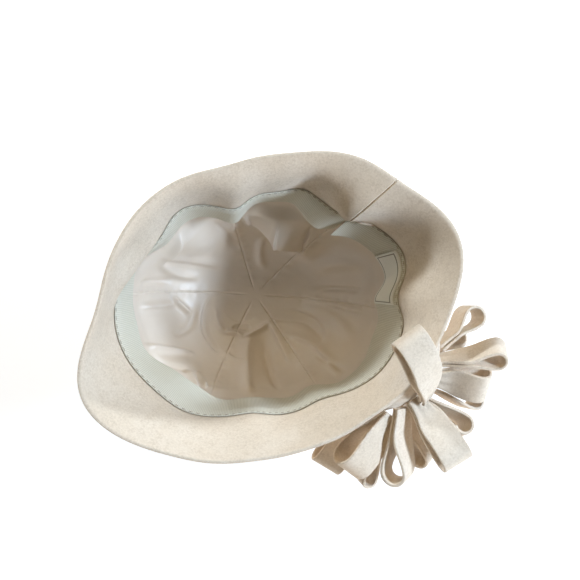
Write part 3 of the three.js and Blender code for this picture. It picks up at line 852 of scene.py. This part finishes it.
def loop_spine(row, step):
    """Middle of a loop's strip, the way its width lies, and its share of the reach, at steps from 0 to 1.

    The strip goes out along a bent spine, round a full end of half a circle, and back to its root.
    """
    along, up, seat, _, heading, rise, roll, reach, belly, parts, bend, sideways, twist = row
    h, r = math.radians(heading), math.radians(rise)
    forward = np.array([math.cos(r) * math.cos(h), math.cos(r) * math.sin(h), math.sin(r)])
    on_edge = unit(np.array([0, 0, 1]) - forward * forward[2])
    across = turned(on_edge, forward, np.array(math.radians(roll)))
    opens = np.cross(across, forward)
    root = over_brim(np.float64(along), np.float64(up), pad_height(along, up) + seat)
    turn = math.radians(math.hypot(bend, sideways))
    axis = unit(across * bend + opens * sideways) if turn else across
    inside = np.cross(axis, forward)
    end = 1 - belly / reach
    half = 1 - np.abs(2 * step - 1)
    rounding = np.clip((half - LOOP_NECK) / (1 - LOOP_NECK), 0, 1) * math.pi / 2
    share = np.where(half < LOOP_NECK, end * half / LOOP_NECK, end + (1 - end) * np.sin(rounding))
    half_pair = STRIP_FELT / 2 + GAP / 2
    apart = mix(half_pair, belly, smooth(share, parts, end)) * np.cos(rounding)
    ahead = np.sin(turn * share) / turn if turn else share
    aside = (1 - np.cos(turn * share)) / turn if turn else 0 * share
    way = turned(np.broadcast_to(forward, (len(step), 3)), axis, turn * share)
    width = turned(np.broadcast_to(across, (len(step), 3)), axis, turn * share)
    width = turned(width, way, math.radians(twist) * share)
    sign = np.where(step < 0.5, 1.0, -1.0)
    middle = (
        root
        + forward * (reach * ahead)[:, None]
        + inside * (reach * aside)[:, None]
        + np.cross(width, way) * (apart * sign)[:, None]
    )
    return middle, width, share


def make_loop(name, row):
    """A strip's outline carried along its loop.

    It widens from its gathered root, has cosine pleats near there, and its edges wave a little as a sine.
    """
    step = np.linspace(0, 1, 150)
    middle, width, share = loop_spine(row, step)
    ahead = loop_spine(row, np.clip(step + 0.004, 0, 1))[0]
    behind = loop_spine(row, np.clip(step - 0.004, 0, 1))[0]
    normal = unit(np.cross(width, ahead - behind))
    wide = mix(row[3], STRIP_WIDTH, smooth(share, 0, GATHERED_SHARE))[:, None]
    side, extra, through = strip_profile(STRIP_FELT, STRIP_ROUND, 14)
    across = side * (wide / 2 - STRIP_ROUND) + extra
    pleats = PLEAT_DEPTH * np.cos(across / wide * PLEAT_COUNT * math.pi)
    pleats = pleats * (1 - smooth(share, 0.1, 0.5))[:, None]
    phase = len(name)
    slack = STRIP_SLACK * np.sin(step * 9 + phase)[:, None] * (across / wide)
    height = through + pleats + slack
    points = middle[:, None] + width[:, None] * -across[..., None] + normal[:, None] * height[..., None]
    label = name.replace("loop", "felt_loop")
    piece = grid_piece(label, points, False, True, side * 0.01, step * 0.11, cream_felt, ends=True)
    return worn(piece, "felt", name)


def make_pad():
    """The gathered felt under the loops: half an ellipsoid on the brim, with sine pleats round it."""
    u = np.linspace(0, 2 * math.pi, 96, endpoint=False)[None, :]
    v = np.linspace(0, 1, 25)[:, None]
    reach = np.sin(v * math.pi / 2)
    along = PAD[0] * reach * np.cos(u)
    up = PAD[1] * reach * np.sin(u)
    deep, count = PAD_PLEATS
    gathered = smooth(v, 0.2, 0.6)
    pleats = deep * np.sin(count * u) * gathered * (1 - smooth(v, 0.85, 1))
    rim = 0.3 * (v == 1)
    top = over_brim(along, up, pad_height(along, up) - deep * gathered + pleats + rim)
    base = over_brim(along, up, 0 * along)[::-1]
    points = np.concatenate([top, base])
    v = np.arange(len(points)) / len(points)
    piece = grid_piece("felt_loop_pad", points, False, True, u[0] / (2 * math.pi), v, cream_felt)
    return worn(piece, "felt", "loop_pad")


make_crown()
make_brim()
lining = make_lining()
sweatband = make_sweatband()
tag = make_tag()
hem_angles = BACK_SEAM - np.linspace(3, 357, HEM_COUNT)
hem = make_stitches(
    "hem_stitches", hem_angles, np.array([HEM_UP]), HEM_STITCH, RIBBON + 0.05, 0.0, taupe_thread
)
tack_shares = np.linspace(0.1, 0.9, TACK_COUNT)
tacks = [
    make_stitches(
        f"tag_stitches_{end}", np.array([angle]), tack_shares, TACK_STITCH, TACK_DEPTH, slope, ivory_thread
    )
    for end, angle, slope in TACK_ENDS
]
make_flap()
pad = make_pad()
for name, row in LOOPS.items():
    make_loop(name, row)


# Floor, light and camera

def floor_finish():
    """Matte pale floor with faint clouds, glowing round the hat and less with the distance from it."""
    finish, tree, shader = new_finish("pale_floor")
    place = tree.nodes.new("ShaderNodeTexCoord").outputs["Object"]
    clouds = spread_to(tree, noise(tree, place, 3, 2), 0.3, 0.7, 0, 1)
    tree.links.new(tint(tree, clouds, FLOOR_DULL, FLOOR_PALE), shader.inputs["Base Color"])
    shader.inputs["Roughness"].default_value = 0.9
    far = tree.nodes.new("ShaderNodeVectorMath")
    far.operation = "LENGTH"
    tree.links.new(place, far.inputs[0])
    glow = spread_to(tree, far.outputs["Value"], *GLOW_REACH, *GLOW)
    shader.inputs["Emission Color"].default_value = (1, 1, 1, 1)
    tree.links.new(glow, shader.inputs["Emission Strength"])
    return finish


def make_floor():
    """A round floor, flat in its middle part, that rises outside it by the square of the distance."""
    turn = np.linspace(0, 2 * math.pi, 96, endpoint=False)[None, :]
    reach = np.concatenate([[0, 200, 600], np.linspace(FLOOR_FLAT, FLOOR_REACH, 24)])[:, None]
    rise = FLOOR_RISE * (np.clip(reach - FLOOR_FLAT, 0, None) / (FLOOR_REACH - FLOOR_FLAT)) ** 2
    height = rise - FLOOR_SINK
    points = np.stack(np.broadcast_arrays(reach * np.cos(turn), reach * np.sin(turn), height), -1)
    floor = grid_piece("floor", points, False, True, turn[0], reach[:, 0], floor_finish())


def area_light(name, azimuth, elevation, tall, wide, energy, colour):
    """A soft light with a height and a width, aimed at the hat from a direction."""
    a = math.radians(azimuth)
    e = math.radians(elevation)
    back = np.array([math.cos(e) * math.cos(a), math.cos(e) * math.sin(a), math.sin(e)])
    lamp = bpy.data.lights.new(name, "AREA")
    lamp.shape = "RECTANGLE"
    lamp.size = tall
    lamp.size_y = wide
    lamp.energy = energy
    lamp.color = colour
    light = bpy.data.objects.new(name, lamp)
    light.location = np.array(LIGHT_AIM) + back * LIGHT_DISTANCE
    light.rotation_euler = (0, math.radians(90 - elevation), a)
    bpy.context.scene.collection.objects.link(light)


make_floor()
for name, row in LIGHTS.items():
    area_light(name, *row)

world = bpy.data.worlds.new("room")
bpy.context.scene.world = world
world.use_nodes = True
room = world.node_tree.nodes["Background"]
room.inputs["Color"].default_value = (*ROOM, 1)
room.inputs["Strength"].default_value = ROOM_LIGHT
bpy.context.scene.view_settings.view_transform = "Standard"

camera = bpy.data.cameras.new("camera")
camera.sensor_width = SENSOR
camera.lens = SENSOR * FOCAL / PICTURE
camera.clip_start = 0.01
eye = bpy.data.objects.new("camera", camera)
eye.location = EYE
bpy.context.scene.collection.objects.link(eye)
bpy.context.scene.camera = eye

bpy.context.view_layer.update()
